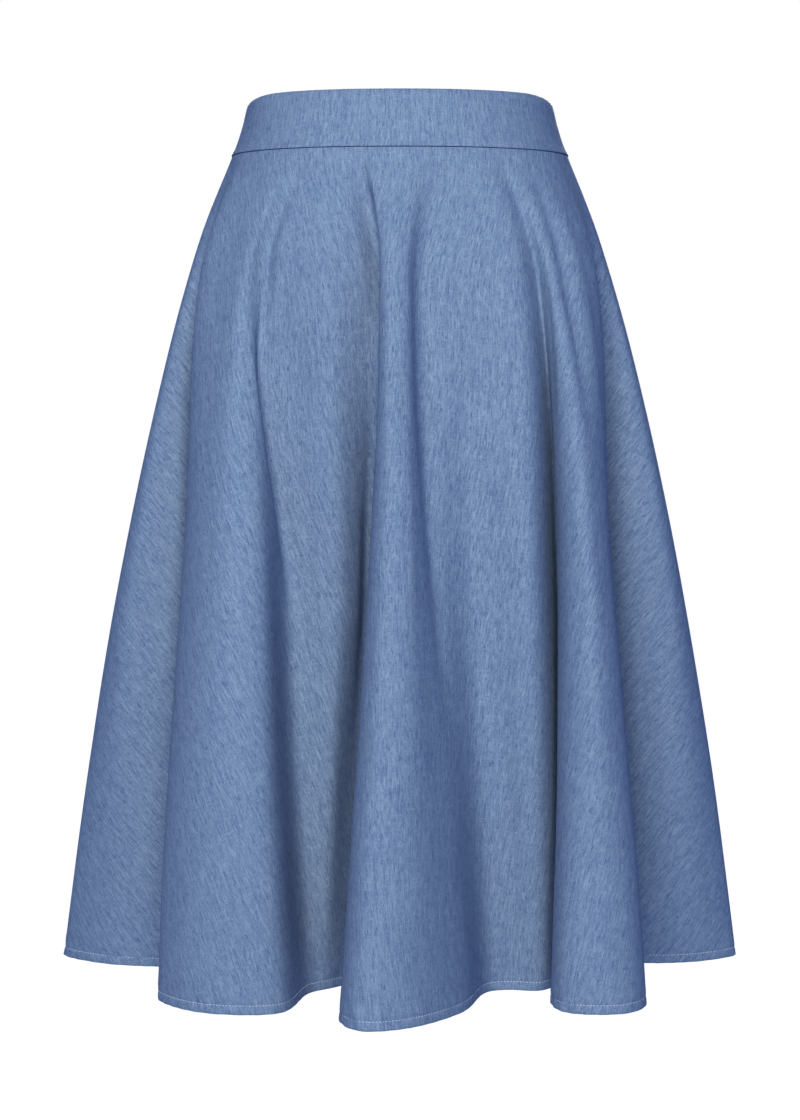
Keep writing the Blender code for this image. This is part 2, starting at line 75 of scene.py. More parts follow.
# The fall lines of the folds, all round from the wearer's right side over the front and back.
# Turn is where a line leaves the waist seam, in degrees. Its other columns are its place over the
# hips, at half the drop and at the hem.
Fold = namedtuple("Fold", "name turn hip_x hip_y mid_x mid_y hem_x hem_y")
FOLDS = (
    Fold("side_right", 0, -0.1655, 0.0010, -0.2219, 0.0030, -0.2750, 0.0120),
    Fold("outer_right_face", 10, -0.1645, -0.0230, -0.2120, -0.0330, -0.2385, -0.0215),
    Fold("outer_right_valley", 19, -0.1535, -0.0385, -0.1440, -0.0450, -0.1270, -0.0520),
    Fold("front_right_edge", 27, -0.1530, -0.0620, -0.1660, -0.0970, -0.1848, -0.1280),
    Fold("front_right_face", 42, -0.1345, -0.0820, -0.1510, -0.1380, -0.1700, -0.1590),
    Fold("front_right_crest", 55, -0.1165, -0.1000, -0.1270, -0.1580, -0.1380, -0.1800),
    Fold("front_right_inner", 61, -0.1060, -0.0995, -0.1025, -0.1530, -0.0890, -0.1780),
    Fold("right_flank", 66, -0.0900, -0.1040, -0.0840, -0.1060, -0.0685, -0.1160),
    Fold("right_floor", 72, -0.0550, -0.1180, -0.0460, -0.1140, -0.0530, -0.1040),
    Fold("centre_valley", 79, -0.0190, -0.1110, -0.0225, -0.0800, -0.0250, -0.0900),
    Fold("centre_edge", 82, -0.0140, -0.1275, -0.0222, -0.1610, -0.0445, -0.2020),
    Fold("centre_crest", 88, -0.0075, -0.1325, -0.0105, -0.1780, -0.0280, -0.2290),
    Fold("centre_face", 94, 0.0045, -0.1300, 0.0070, -0.1740, 0.0050, -0.2210),
    Fold("centre_slope", 101, 0.0165, -0.1180, 0.0235, -0.1490, 0.0465, -0.1755),
    Fold("left_floor", 109, 0.0500, -0.1140, 0.0560, -0.1170, 0.0710, -0.1100),
    Fold("left_floor_edge", 116, 0.0900, -0.1100, 0.1005, -0.1300, 0.1090, -0.1100),
    Fold("front_left_valley", 121, 0.1025, -0.0960, 0.1215, -0.0780, 0.1280, -0.0850),
    Fold("front_left_inner", 124, 0.1065, -0.1030, 0.1190, -0.1130, 0.1135, -0.1480),
    Fold("front_left_corner", 127, 0.1110, -0.1050, 0.1265, -0.1390, 0.1215, -0.1745),
    Fold("front_left_crest", 131, 0.1170, -0.1030, 0.1410, -0.1500, 0.1450, -0.1825),
    Fold("front_left_outer", 140, 0.1340, -0.0895, 0.1560, -0.1320, 0.1715, -0.1765),
    Fold("front_left_edge", 151, 0.1500, -0.0660, 0.1610, -0.1020, 0.1858, -0.1470),
    Fold("outer_left_valley", 161, 0.1530, -0.0395, 0.1440, -0.0450, 0.1270, -0.0420),
    Fold("outer_left_face", 170, 0.1645, -0.0220, 0.2130, -0.0320, 0.2440, -0.0130),
    Fold("side_left", 180, 0.1655, 0.0010, 0.2219, 0.0030, 0.2750, 0.0120),
    Fold("outer_left_back", 190, 0.1635, 0.0240, 0.2060, 0.0380, 0.2330, 0.0450),
    Fold("back_left_valley", 200, 0.1550, 0.0440, 0.1460, 0.0600, 0.1290, 0.0510),
    Fold("back_left_edge", 211, 0.1500, 0.0640, 0.1690, 0.1080, 0.1890, 0.1310),
    Fold("back_left_face", 224, 0.1330, 0.0870, 0.1500, 0.1430, 0.1720, 0.1690),
    Fold("back_left_crest", 235, 0.1140, 0.1040, 0.1240, 0.1590, 0.1370, 0.1900),
    Fold("back_left_inner", 243, 0.0990, 0.1060, 0.0980, 0.1510, 0.0960, 0.1860),
    Fold("back_valley_left", 252, 0.0750, 0.1130, 0.0690, 0.1250, 0.0660, 0.0990),
    Fold("back_centre_edge", 260, 0.0360, 0.1270, 0.0380, 0.1660, 0.0520, 0.1980),
    Fold("centre_back", 270, 0.0000, 0.1330, 0.0030, 0.1800, 0.0090, 0.2200),
    Fold("back_centre_face", 281, -0.0330, 0.1270, -0.0340, 0.1640, -0.0320, 0.1950),
    Fold("back_valley_right", 291, -0.0640, 0.1160, -0.0630, 0.1250, -0.0600, 0.1010),
    Fold("back_right_inner", 300, -0.0960, 0.1080, -0.0960, 0.1480, -0.0990, 0.1790),
    Fold("back_right_crest", 311, -0.1180, 0.1010, -0.1280, 0.1540, -0.1420, 0.1860),
    Fold("back_right_face", 323, -0.1370, 0.0840, -0.1530, 0.1360, -0.1730, 0.1620),
    Fold("back_right_edge", 334, -0.1520, 0.0610, -0.1670, 0.1030, -0.1850, 0.1250),
    Fold("back_right_valley", 344, -0.1570, 0.0400, -0.1430, 0.0570, -0.1260, 0.0500),
    Fold("outer_right_back", 352, -0.1640, 0.0210, -0.2050, 0.0370, -0.2290, 0.0440),
)
SIDE_LEFT = [fold.name for fold in FOLDS].index("side_left")
CENTRE_BACK = [fold.name for fold in FOLDS].index("centre_back")

# Soft creases in the cloth, besides the folds. A crease runs from one drop and place to another.
# Place counts the fall lines from 0 at side_right. Relief is above the cloth, or below if negative.
Crease = namedtuple("Crease", "from_drop from_place to_drop to_place width relief")
CREASES = (
    Crease(0.00, 5.95, 0.55, 7.1, 0.0065, -0.0090),
    Crease(0.00, 8.75, 0.36, 9.8, 0.006, -0.0120),
    Crease(0.10, 9.2, 1.02, 8.8, 0.009, -0.0050),
    Crease(0.55, 8.4, 1.10, 8.6, 0.020, -0.0080),
    Crease(0.00, 13.05, 0.70, 13.2, 0.010, -0.0055),
    Crease(0.00, 16.8, 0.34, 17.2, 0.007, -0.0022),
    Crease(0.00, 19.3, 0.34, 19.6, 0.006, -0.0034),
    Crease(0.00, 19.9, 0.34, 20.3, 0.007, 0.0016),
    Crease(0.05, 22.0, 1.08, 22.60, 0.013, -0.0160),
    Crease(0.05, 2.05, 1.03, 1.50, 0.012, -0.0250),
    Crease(0.60, 14.3, 1.10, 14.5, 0.008, -0.0026),
    Crease(0.00, 26.6, 0.60, 26.1, 0.008, -0.0060),
    Crease(0.00, 29.4, 0.46, 30.3, 0.007, -0.0060),
    Crease(0.02, 31.3, 0.80, 31.2, 0.009, -0.0070),
    Crease(0.05, 34.9, 0.70, 35.2, 0.008, -0.0080),
    Crease(0.00, 36.6, 0.40, 36.1, 0.007, -0.0045),
    Crease(0.00, 39.3, 0.55, 39.9, 0.008, -0.0070),
    Crease(0.25, 28.2, 0.95, 28.4, 0.012, -0.0025),
    Crease(0.30, 37.6, 1.00, 37.5, 0.011, -0.0025),
)

# Mesh density
COLUMN_PITCH = 0.0038
MIN_COLUMNS = 8
MAX_COLUMNS = 26
ROW_STEP = 0.0062
BAND_COLUMNS = 320
BAND_ROWS = 20
SEAM_ROWS = 70
ZIP_ROWS = 60
SMOOTH_PASSES = 3

# The skirt's rows at its top edge and at its hem, where the cloth curls over. A top row is its
# distance below the edge and the insets of both faces. A hem row is its height over the hem, and
# the wall is the hem's in the rows below HEM_TURN. The band's curls are shares of BAND_CURL.
TOP_ROWS = (
    (0.0, 0.00045, 0.00080),
    (0.0002, 0.00015, 0.00110),
    (0.0006, 0.0, SKIRT_WALL),
    (0.0030, 0.0, SKIRT_WALL),
)
HEM_ROWS = (0.0300, 0.0240, 0.0190, 0.0150, 0.0120, 0.0100, 0.0086, 0.0076, 0.0068, 0.0060,
            0.0050, 0.0035, 0.0022, 0.0010, 0.0004, 0.0001, 0.0)
HEM_TURN = 0.0080
HEM_CURL = 0.0010
BAND_CURL = 0.0009
BAND_CURL_TOP = (0.0, 0.12, 0.4, 1.0)
BAND_CURL_LOW = (0.0, 0.6, 0.88, 1.0)

# The waistband's top dips a little towards its sides
SIDE_DIP = 0.0028
SIDE_DIP_START = 0.094
SIDE_DIP_END = 0.118

# Seam allowances inside. The waist's rows are (height, inset from the skirt's top edge).
SEAM_THICKNESS = 0.0006
SEAM_CLEARANCE = 0.0002
SEAM_TOP = -0.0340
SEAM_ACROSS = (-0.0100, -0.0050, 0.0, 0.0050, 0.0100)
WAIST_SEAM_ROWS = ((-0.0150, 0.0053), (-0.0190, 0.0033), (-0.0222, 0.0016), (-0.0236, 0.0015))
SEAM_OVER_HEM = 0.009
SEAM_UNDER_ZIP = 0.002
ZIP_KEEP_OUT = 12

# The zip at the centre back
ZIP_TOP = 0.0190
ZIP_BOTTOM = -0.2000
TAPE_CLEARANCE = 0.0006
TAPE_THICKNESS = 0.0005
TAPE_ACROSS = (0.0002, 0.0030, 0.0070, 0.0110)
COIL_FROM_TOP = 0.004
COIL_FROM_END = 0.003
COIL_PITCH = 0.0013
COIL_WIDTH = 0.0034
COIL_RADIUS = 0.0005
COIL_DEPTH = 0.6
HARDWARE_BEVEL = 0.00014

# The hem's stitches
STITCH_PITCH = 0.0025
STITCH_LENGTH = 0.0016
STITCH_RADIUS = 0.00032
STITCH_END = 0.002
STITCH_SINK = 2.4
STITCH_SINK_STEP = 0.11

# A capsule, for a stitch or a turn of the coil. Its rings are (place along it, share of its radius).
CAPSULE_SIDES = 6
CAPSULE_RINGS = ((-0.5, 0.35), (-0.36, 1.0), (0.36, 1.0), (0.5, 0.35))

# The cut of the cloth: parts of a flat ring, 82 degrees for the front and 38.5 for each back.
# Lengths and angles are in metres and radians. An aside keeps the pieces apart in the yarns' noise.
CUT_INNER = 0.274
CUT_LENGTH = 0.654
FRONT_ANGLE = 1.434
BACK_ANGLE = 0.672
BAND_BEND = 0.5
BAND_FRONT_LENGTH = 0.36
BAND_BACK_LENGTH = 0.18
FRONT_ASIDE = 0.0
BACK_LEFT_ASIDE = 3.0
BACK_RIGHT_ASIDE = 6.0
BAND_FRONT_ASIDE = 10.0
BAND_LEFT_ASIDE = 12.0
BAND_RIGHT_ASIDE = 14.0
STRIP_ASIDE = 20.0

# The yarns' two colours, and how far the weave shows
DENIM_DARK = (0.132, 0.216, 0.395)
DENIM_PALE = (0.298, 0.414, 0.600)
WEAVE_SHADE = 0.05
WEAVE_RELIEF = 0.3
BUMP_STRENGTH = 0.55
BUMP_HEIGHT = 0.00022

# Plain finishes, slightly uneven in their colour
Finish = namedtuple("Finish", "name colour roughness metallic coat")
THREAD = Finish("thread", (0.62, 0.70, 0.80), 0.75, 0.0, 0.0)
TAPE = Finish("zip_tape", (0.080, 0.130, 0.260), 0.85, 0.0, 0.0)
METAL = Finish("zip_metal", (0.070, 0.115, 0.230), 0.45, 0.25, 0.1)
GRAIN_SCALE = 1800.0
GRAIN_RANGE = (0.82, 1.18)

# The studio: a pale floor well below the hem, a key light in front and one behind, weak bluish
# light from all round, and the camera
WHITE = (1.0, 1.0, 1.0, 1.0)
FLOOR_HALF = 15.0
FLOOR_LEVEL = -1.12
KEY_PLACE = Vector((0.25, 3.15, 0.95))
KEY_SIZE = (1.9, 1.4)
KEY_COLOUR = (1.0, 0.87, 0.66)
KEY_POWER = 136.0
KEY_AIM = Vector((0.0, 0.0, -0.32))
AMBIENT_COLOUR = (0.10, 0.38, 1.0, 1.0)
AMBIENT_STRENGTH = 0.355
CAMERA_PLACE = (0.0, -2.0, -0.190)
CAMERA_DOWN = 4.346
CAMERA_LENS = 80.36
CAMERA_SENSOR = 36.0
VIEW_GAMMA = 0.78


def hermite(before, start, end, after, knots, at):
    """Read a smooth curve between start and end; knots are the places of the four values."""
    k0, k1, k2, k3 = knots
    span = k2 - k1
    fraction = (at - k1) / span
    slope_in = (end - before) / (k2 - k0) * span
    slope_out = (after - start) / (k3 - k1) * span
    f2 = fraction * fraction
    f3 = f2 * fraction
    return (
        start * (2 * f3 - 3 * f2 + 1)
        + slope_in * (f3 - 2 * f2 + fraction)
        + end * (3 * f2 - 2 * f3)
        + slope_out * (f3 - f2)
    )


def read_levels(places, values, at):
    """Read a table of levels as a smooth curve at one place."""
    last = len(places) - 1
    index = 0
    while index < last - 1 and (at - places[index + 1]) * (places[-1] - places[0]) > 0:
        index += 1
    k1, k2 = places[index], places[index + 1]
    p1, p2 = values[index], values[index + 1]
    k0 = places[index - 1] if index > 0 else 2 * k1 - k2
    k3 = places[index + 2] if index + 2 <= last else 2 * k2 - k1
    p0 = values[index - 1] if index > 0 else 2 * p1 - p2
    p3 = values[index + 2] if index + 2 <= last else 2 * p2 - p1
    return hermite(p0, p1, p2, p3, (k0, k1, k2, k3), at)


def oval(turns, half_width, front_depth, back_depth):
    """Place turns in degrees on an oval: 0 at its right side, 90 at its front."""
    angles = np.radians(turns)
    depth = np.where(np.asarray(turns) <= 180, front_depth, back_depth)
    power = 2 / SQUARENESS
    across = np.sign(np.cos(angles)) * np.abs(np.cos(angles)) ** power
    forward = np.sign(np.sin(angles)) * np.abs(np.sin(angles)) ** power
    return np.stack([-half_width * across, -depth * forward], axis=-1)


TURNS = np.array([fold.turn for fold in FOLDS], float)
BODY_DROPS = [level.drop for level in BODY_LEVELS]
BODY_VALUES = np.array([level[1:] for level in BODY_LEVELS])
BAND_HEIGHTS = [level.height for level in BAND_LEVELS]
BAND_VALUES = np.array([level[1:] for level in BAND_LEVELS])


def body(drop):
    """Place every fall line on the skirt's overall form at one drop."""
    return oval(TURNS, *read_levels(BODY_DROPS, BODY_VALUES, drop))


OFFSET_DROPS = (0.0, HIP_DROP, MID_DROP, 1.0)
OFFSETS = np.array([
    np.zeros((len(FOLDS), 2)),
    np.array([(fold.hip_x, fold.hip_y) for fold in FOLDS]) - body(HIP_DROP),
    np.array([(fold.mid_x, fold.mid_y) for fold in FOLDS]) - body(MID_DROP),
    np.array([(fold.hem_x, fold.hem_y) for fold in FOLDS]) - body(1.0),
])


def level_normals(ring):
    """Work out the level outward direction at every point of a closed ring."""
    across = np.roll(ring, -1, axis=0) - np.roll(ring, 1, axis=0)
    out = np.stack([across[:, 1], -across[:, 0]], axis=1)
    return out / np.linalg.norm(out, axis=1, keepdims=True)


def arc_lengths(ring):
    """Measure along a closed ring: the length up to each point, and at the end the whole."""
    steps = np.linalg.norm(np.roll(ring, -1, axis=0) - ring, axis=1)
    return np.concatenate([[0.0], np.cumsum(steps)])


# Columns of the mesh: more of them between fall lines that are far apart at the hem. Places holds
# where each column is, counted in fall lines, and its last row closes the ring.
HEM_LINES = np.array([(fold.hem_x, fold.hem_y) for fold in FOLDS])
HEM_SPANS = np.linalg.norm(np.roll(HEM_LINES, -1, axis=0) - HEM_LINES, axis=1)
SPAN_COUNTS = np.clip(np.round(HEM_SPANS / COLUMN_PITCH), MIN_COLUMNS, MAX_COLUMNS).astype(int)
SPANS = np.repeat(np.arange(len(FOLDS)), SPAN_COUNTS)
SHARES = np.concatenate([np.arange(count) / count for count in SPAN_COUNTS])
PLACES = np.append(SPANS + SHARES, len(FOLDS))
COLUMN_LEFT = int(SPAN_COUNTS[:SIDE_LEFT].sum())
COLUMN_BACK = int(SPAN_COUNTS[:CENTRE_BACK].sum())
COLUMN_END = len(SPANS)


def plain_ring(drop):
    """Work out the skirt's smooth outline at one drop, as a closed ring of points."""
    lines = body(drop) + read_levels(OFFSET_DROPS, OFFSETS, drop)
    p0, p1, p2, p3 = (lines[(SPANS + shift) % len(FOLDS)] for shift in (-1, 0, 1, 2))
    k1 = np.sqrt(np.linalg.norm(p1 - p0, axis=1, keepdims=True))
    k2 = k1 + np.sqrt(np.linalg.norm(p2 - p1, axis=1, keepdims=True))
    k3 = k2 + np.sqrt(np.linalg.norm(p3 - p2, axis=1, keepdims=True))
    at = k1 + (k2 - k1) * SHARES[:, None]
    a1 = p0 + (p1 - p0) * at / k1
    a2 = p1 + (p2 - p1) * (at - k1) / (k2 - k1)
    a3 = p2 + (p3 - p2) * (at - k2) / (k3 - k2)
    b1 = a1 + (a2 - a1) * at / k2
    b2 = a2 + (a3 - a2) * (at - k1) / (k3 - k1)
    ring = b1 + (b2 - b1) * (at - k1) / (k2 - k1)
    for _ in range(SMOOTH_PASSES):
        ring = (np.roll(ring, 1, axis=0) + 2 * ring + np.roll(ring, -1, axis=0)) / 4
    return ring


# Creases and unevenness grow in from the waist seam over this share of the drop
SEAM_FADE = 0.0625

# Small relief all over: slow unevenness, the stitch line's dip at the hem and its puckers. The
# puckers drift in their spacing and swell and fade along the hem.
UNEVEN = 0.0007
UNEVEN_ROUND = 2.6
UNEVEN_DOWN = 4.5
STITCH_HEIGHT = 0.0068
STITCH_DIP = 0.00035
STITCH_DIP_WIDTH = 0.0013
PUCKER = 0.00040
PUCKER_PITCH = 0.0135
PUCKER_SLANT = 0.9
PUCKER_REACH = 0.016
PUCKER_DRIFT = 2.2
PUCKER_DRIFT_PITCH = 7.3
PUCKER_MEAN = 0.55
PUCKER_SWELL = 0.45
PUCKER_SWELL_PITCH = 0.31
PUCKER_SWELL_START = 1.1


def relief(drop, height, arcs):
    """Work out how far each point of a ring stands out from the smooth outline."""
    count = len(arcs) - 1
    total = arcs[-1]
    out = np.zeros(count)
    seam_fade = min(1.0, max(0.0, drop) / SEAM_FADE) ** 2
    for crease in CREASES:
        if not crease.from_drop < drop < crease.to_drop:
            continue
        share = (drop - crease.from_drop) / (crease.to_drop - crease.from_drop)
        place = crease.from_place + (crease.to_place - crease.from_place) * share
        centre = np.interp(place, PLACES, arcs)
        away = (arcs[:-1] - centre + total / 2) % total - total / 2
        strength = crease.relief * seam_fade * math.sin(math.pi * share)
        out += strength * np.exp(-(away / crease.width) ** 2)
    for column in range(count):
        angle = 2 * math.pi * PLACES[column] / len(FOLDS)
        across, forward = math.cos(angle) * UNEVEN_ROUND, math.sin(angle) * UNEVEN_ROUND
        spot = Vector((across, forward, drop * UNEVEN_DOWN))
        out[column] += UNEVEN * noise.noise(spot) * seam_fade
    over_hem = height - HEM_HEIGHT
    if over_hem < 4 * PUCKER_REACH:
        along = arcs[:-1]
        out -= STITCH_DIP * math.exp(-((over_hem - STITCH_HEIGHT) / STITCH_DIP_WIDTH) ** 2)
        phase = 2 * math.pi * (along + PUCKER_SLANT * over_hem) / PUCKER_PITCH
        phase += PUCKER_DRIFT * np.sin(2 * math.pi * along / (PUCKER_DRIFT_PITCH * PUCKER_PITCH))
        swell = np.sin(2 * math.pi * along / PUCKER_SWELL_PITCH + PUCKER_SWELL_START)
        strength = PUCKER_MEAN + PUCKER_SWELL * swell
        fade = math.exp(-(over_hem / PUCKER_REACH) ** 2)
        out += PUCKER * strength * fade * np.sin(phase)
    return out


Ring = namedtuple("Ring", "height points normals arcs")


def skirt_ring(height):
    """Make one ring of the skirt's outer face, with its creases."""
    drop = (SKIRT_TOP - height) / (SKIRT_TOP - HEM_HEIGHT)
    ring = plain_ring(max(0.0, drop))
    ring = ring + level_normals(ring) * relief(drop, height, arc_lengths(ring))[:, None]
    return Ring(height, ring, level_normals(ring), arc_lengths(ring))


def band_ring(height):
    """Make one ring of the waistband's outer face."""
    half_width, half_depth = read_levels(BAND_HEIGHTS, BAND_VALUES, height)
    ring = oval(np.arange(BAND_COLUMNS) * 360 / BAND_COLUMNS, half_width, half_depth, half_depth)
    return Ring(height, ring, level_normals(ring), arc_lengths(ring))


def between_points(ring, columns):
    """Read a ring's points and outward directions at columns, also between two points."""
    count = len(ring.points)
    low = np.floor(columns).astype(int)
    share = (columns - low)[:, None]
    points = ring.points[low % count] * (1 - share) + ring.points[(low + 1) % count] * share
    normals = ring.normals[low % count] * (1 - share) + ring.normals[(low + 1) % count] * share
    return points, normals


def read_ring(ring, columns):
    """Read a ring's points, outward directions of length 1, and lengths along it at columns."""
    points, normals = between_points(ring, columns)
    arcs = np.interp(columns, np.arange(len(ring.points) + 1), ring.arcs)
    return points, normals / np.linalg.norm(normals, axis=1, keepdims=True), arcs


# A panel's edges at a seam: extra columns close to the edge, and how far the cloth dips there
EDGE_COLUMNS = (0.0, 0.16, 0.42)
EDGE_DIP = 0.00045
EDGE_DIP_WIDTH = 0.0009

Profile = namedtuple("Profile", "ring outer inner")


def pull_in(points):
    """Move the first of a row of points half a seam's gap towards the second."""
    way = points[1] - points[0]
    points[0] += way / np.linalg.norm(way) * SEAM_GAP / 2


def panel_strip(profile, first, last, cut):
    """Cut one panel out of rings: its outer and inner rows of points, and their places in the cut."""
    near = [first + share for share in EDGE_COLUMNS]
    far = [last - share for share in reversed(EDGE_COLUMNS)]
    columns = np.array(near + list(range(first + 1, last)) + far)
    outer, inner, places = [], [], []
    for ring, outer_inset, inner_inset in profile:
        points, normals, arcs = read_ring(ring, columns)
        along = arcs - arcs[0]
        length = along[-1]
        pull_in(points)
        pull_in(points[::-1])
        dip = EDGE_DIP * np.exp(-(np.minimum(along, length - along) / EDGE_DIP_WIDTH) ** 2)
        for rows, inset in ((outer, outer_inset + dip), (inner, inner_inset)):
            moved = points - normals * np.broadcast_to(inset, len(columns))[:, None]
            rows.append(np.column_stack([moved, np.full(len(columns), ring.height)]))
        places.append(cut(along / length, ring.height))
    return np.array(outer), np.array(inner), np.array(places)


def make_shell(name, outer, inner, places, material):
    """Close matching rows of outer and inner points into one thin shell, with its cut as UVs."""
    rows, columns = outer.shape[:2]
    loop = np.concatenate([outer, inner[::-1]])
    loop_places = np.concatenate([places, places[::-1]])
    count = 2 * rows
    index = np.arange(count * columns).reshape(count, columns)
    after = np.roll(index, -1, axis=0)
    faces = np.stack([index[:, :-1], after[:, :-1], after[:, 1:], index[:, 1:]], axis=-1).reshape(-1, 4)
    caps = []
    for row in range(rows - 1):
        opposite = count - 1 - row
        caps.append([index[row, 0], index[opposite, 0], index[opposite - 1, 0], index[row + 1, 0]])
        caps.append([index[row, -1], index[row + 1, -1], index[opposite - 1, -1], index[opposite, -1]])
    faces = np.concatenate([faces, np.array(caps)])
    mesh = bpy.data.meshes.new(name)
    mesh.from_pydata(loop.reshape(-1, 3).tolist(), [], faces.tolist())
    uv = mesh.uv_layers.new(name="cut")
    uv.data.foreach_set("uv", loop_places.reshape(-1, 2)[faces.ravel()].ravel())
    mesh.materials.append(material)
    mesh.shade_smooth()
    mesh.set_sharp_from_angle(angle=math.radians(60))
    mesh.validate()
    piece = bpy.data.objects.new(name, mesh)
    bpy.context.scene.collection.objects.link(piece)
    return piece


def new_node(tree, kind, settings=None, **inputs):
    """Add a node with its settings and inputs. An input named i and a number is taken by its place."""
    made = tree.nodes.new(kind)
    for key, value in (settings or {}).items():
        setattr(made, key, value)
    for key, value in inputs.items():
        if key[0] == "i" and key[1:].isdigit():
            slot = made.inputs[int(key[1:])]
        else:
            slot = made.inputs[key.replace("_", " ")]
        if isinstance(value, bpy.types.NodeSocket):
            tree.links.new(value, slot)
        else:
            slot.default_value = value
    return made


def math_node(tree, operation, *values):
    """Add a math node and return its output."""
    inputs = {f"i{index}": value for index, value in enumerate(values)}
    return new_node(tree, "ShaderNodeMath", {"operation": operation}, **inputs).outputs[0]


def yarn_noise(tree, cut, across, along, seed, detail=2.0):
    """Make noise in the cut's own directions: cells a metre across and along the warp."""
    scaled = new_node(tree, "ShaderNodeVectorMath", {"operation": "MULTIPLY_ADD"},
                      i0=cut, i1=(across, along, 1.0), i2=(seed, seed * 1.7, seed))
    return new_node(tree, "ShaderNodeTexNoise", {"noise_dimensions": "2D"}, Vector=scaled.outputs[0],
                    Scale=1.0, Detail=detail, Roughness=0.55).outputs["Fac"]


def above(tree, value, low, high):
    """Pick out where a noise is over a limit, softly, from 0 to 1."""
    return new_node(tree, "ShaderNodeMapRange", {"interpolation_type": "SMOOTHSTEP"},
                    i0=value, i1=low, i2=high, i3=0.0, i4=1.0).outputs[0]


# Yarn detail. Each row gives the cells a metre across and along the warp, a seed, and the limits
# above which the noise counts, with the share that it adds to the pale yarn.
YARN_PITCH = 0.00046
Yarn = namedtuple("Yarn", "across along seed low high share")
YARNS = (
    Yarn(1000, 110, 3.0, None, None, 0.98),
    Yarn(1150, 420, 7.0, None, None, 0.78),
    Yarn(1250, 1050, 13.0, None, None, 0.80),
    Yarn(480, 34, 5.0, None, None, 0.62),
    Yarn(210, 18, 11.0, None, None, 0.34),
    Yarn(24, 15, 19.0, None, None, 0.09),
    Yarn(900, 90, 29.0, 0.60, 0.70, 0.55),
    Yarn(850, 120, 37.0, 0.61, 0.71, -0.52),
    Yarn(80, 950, 43.0, 0.60, 0.72, 0.28),
    Yarn(900, 700, 53.0, 0.64, 0.72, 0.44),
)


def make_denim(name, dark, pale, roughness):
    """Make the cloth: yarns of two colours, with slubs along the warp and some along the weft."""
    material = bpy.data.materials.new(name)
    material.use_nodes = True
    tree = material.node_tree
    shader = tree.nodes["Principled BSDF"]
    cut = new_node(tree, "ShaderNodeUVMap", {"uv_map": "cut"}).outputs[0]
    total = 0.5
    for yarn in YARNS:
        value = yarn_noise(tree, cut, yarn.across, yarn.along, yarn.seed)
        if yarn.low is None:
            value = math_node(tree, "SUBTRACT", value, 0.5)
        else:
            value = above(tree, value, yarn.low, yarn.high)
        total = math_node(tree, "MULTIPLY_ADD", value, yarn.share, total)
    parts = new_node(tree, "ShaderNodeSeparateXYZ", i0=cut)
    turn = 2 * math.pi / YARN_PITCH
    warp = math_node(tree, "SINE", math_node(tree, "MULTIPLY", parts.outputs[0], turn))
    both = math_node(tree, "ADD", parts.outputs[0], parts.outputs[1])
    twill = math_node(tree, "SINE", math_node(tree, "MULTIPLY", both, turn / 2))
    weave = math_node(tree, "ADD", math_node(tree, "MULTIPLY", warp, 0.5), twill)
    shade = math_node(tree, "MULTIPLY_ADD", weave, WEAVE_SHADE, total)
    colour = new_node(tree, "ShaderNodeMix", {"data_type": "RGBA", "clamp_factor": True},
                      i0=shade, i6=(*dark, 1.0), i7=(*pale, 1.0))
    height = math_node(tree, "MULTIPLY_ADD", weave, WEAVE_RELIEF, total)
    bump = new_node(tree, "ShaderNodeBump", Strength=BUMP_STRENGTH, Distance=BUMP_HEIGHT, Height=height)
    tree.links.new(colour.outputs[2], shader.inputs["Base Color"])
    tree.links.new(bump.outputs[0], shader.inputs["Normal"])
    shader.inputs["Roughness"].default_value = roughness
    shader.inputs["Specular IOR Level"].default_value = 0.22
    shader.inputs["Sheen Weight"].default_value = 0.05
    shader.inputs["Sheen Roughness"].default_value = 0.55
    return material


def panel_cut(centre, angle, aside):
    """Make the function that places a skirt panel in its cut: part of a ring, its grain at centre."""
    def place(share, height):
        angles = angle * (share - centre)
        drop = (SKIRT_TOP - height) / (SKIRT_TOP - HEM_HEIGHT)
        radius = CUT_INNER + CUT_LENGTH * drop
        return np.stack([radius * np.sin(angles) + aside, radius * np.cos(angles)], axis=-1)
    return place


def band_cut(centre, length, aside):
    """Make the function that places a band piece in its cut: a slightly bent strip."""
    def place(share, height):
        angles = BAND_BEND * (share - centre)
        radius = length / BAND_BEND + BAND_TOP - height
        return np.stack([radius * np.sin(angles) + aside, radius * np.cos(angles)], axis=-1)
    return place


def curl_inset(reach, radius):
    """Work out how far a rounded edge is inset where it has this much of its radius left."""
    return radius - math.sqrt(max(0.0, radius ** 2 - max(0.0, reach) ** 2))


def skirt_profile():
    """List the rings of the skirt from the waist seam to the hem, with both faces' insets."""
    profile = [Profile(skirt_ring(SKIRT_TOP - below), outer, inner) for below, outer, inner in TOP_ROWS]
    start = SKIRT_TOP - TOP_ROWS[-1][0]
    end = HEM_HEIGHT + HEM_ROWS[0]
    steps = round((start - end) / ROW_STEP)
    for step in range(1, steps):
        profile.append(Profile(skirt_ring(start + (end - start) * step / steps), 0.0, SKIRT_WALL))
    for row in HEM_ROWS:
        wall = HEM_WALL if row < HEM_TURN else SKIRT_WALL
        curl = curl_inset(HEM_CURL - row, HEM_CURL)
        profile.append(Profile(skirt_ring(HEM_HEIGHT + row), curl, wall - curl))
    return profile


def band_profile():
    """List the rings of the waistband from its top to its lower edge, with both faces' insets."""
    top = BAND_TOP - BAND_CURL
    low = BAND_BOTTOM + BAND_CURL
    heights = [BAND_TOP - BAND_CURL * share for share in BAND_CURL_TOP]
    heights += [top + (low - top) * step / BAND_ROWS for step in range(1, BAND_ROWS)]
    heights += [low - BAND_CURL * share for share in BAND_CURL_LOW]
    profile = []
    for height in heights:
        curl = curl_inset(BAND_CURL - min(BAND_TOP - height, height - BAND_BOTTOM), BAND_CURL)
        profile.append(Profile(band_ring(height), curl, BAND_WALL - curl))
    return profile


